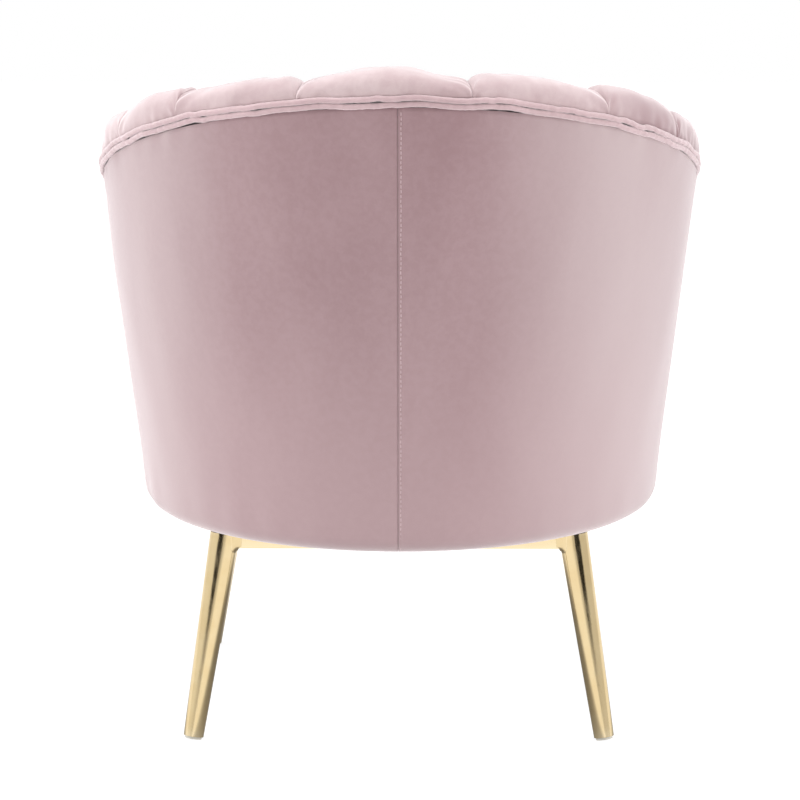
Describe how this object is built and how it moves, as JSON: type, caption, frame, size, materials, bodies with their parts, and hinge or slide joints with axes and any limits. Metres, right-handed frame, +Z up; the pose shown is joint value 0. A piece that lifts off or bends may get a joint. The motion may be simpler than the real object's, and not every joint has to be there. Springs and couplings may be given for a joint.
{
  "type": "upholstered tub armchair",
  "caption": "Channel-back velvet tub armchair with a scalloped top, double welt, loose seat cushion and splayed polished metal legs.",
  "frame": {"origin": "middle of the chair's box at floor level", "axes": "+Z up, the chair faces -Y, +X towards the sitter's left"},
  "size_m": [0.7266, 0.7187, 0.82],
  "materials": {
    "velvet": "short-pile blush velvet with a soft two-way sheen",
    "velvet_trim": "bias-cut velvet over cord",
    "gold_metal": "polished pale gold plating",
    "glide_plastic": "natural nylon, moulded",
    "zinc_steel": "zinc plated",
    "frame_timber": "planed, unfinished",
    "backing_board": "hardboard",
    "webbing": "woven elastic",
    "dust_cloth": "non-woven",
    "foam": "open-cell foam",
    "zip": "coil zip tape"
  },
  "bodies": {
    "root": {"leg_front_left": "gold_metal", "leg_front_right": "gold_metal", "leg_rear_left": "gold_metal", "leg_rear_right": "gold_metal", "glides": "glide_plastic", "rail_front": "gold_metal", "rail_rear": "gold_metal", "rail_left": "gold_metal", "rail_right": "gold_metal", "weld_beads": "gold_metal", "corner_plates": "zinc_steel", "base_bolts": "zinc_steel", "base_washers": "zinc_steel", "tee_nuts": "zinc_steel", "staples": "zinc_steel", "seat_rail_front": "frame_timber", "seat_rail_rear": "frame_timber", "seat_rail_left": "frame_timber", "seat_rail_right": "frame_timber", "corner_blocks": "frame_timber", "post_rear_centre": "frame_timber", "post_rear_left": "frame_timber", "post_rear_right": "frame_timber", "post_front_left": "frame_timber", "post_front_right": "frame_timber", "back_top_rail": "frame_timber", "arm_top_rail_left": "frame_timber", "arm_top_rail_right": "frame_timber", "backing_board_left": "backing_board", "backing_board_right": "backing_board", "webbing_lengthwise": "webbing", "webbing_crosswise": "webbing", "dust_cover": "dust_cloth", "apron_foam": "foam", "outer_cover_left": "velvet", "outer_cover_right": "velvet", "arm_front_left": "velvet", "arm_front_right": "velvet", "apron_cover": "velvet", "seat_deck": "velvet", "channel_1": "velvet", "channel_2": "velvet", "channel_3": "velvet", "channel_4": "velvet", "channel_5": "velvet", "channel_6": "velvet", "channel_7": "velvet", "channel_8": "velvet", "channel_9": "velvet", "channel_10": "velvet", "channel_11": "velvet", "welt_upper": "velvet_trim", "welt_lower": "velvet_trim"},
    "cushion": {"cushion_core": "foam", "cushion_case": "velvet", "piping_top": "velvet_trim", "piping_bottom": "velvet_trim", "cushion_zip": "zip"}
  },
  "joints": [
    {"name": "cushion_lift", "type": "slide", "parent": "root", "child": "cushion", "axis": [0, 0, 1], "range_m": [0, 0.5]}
  ]
}
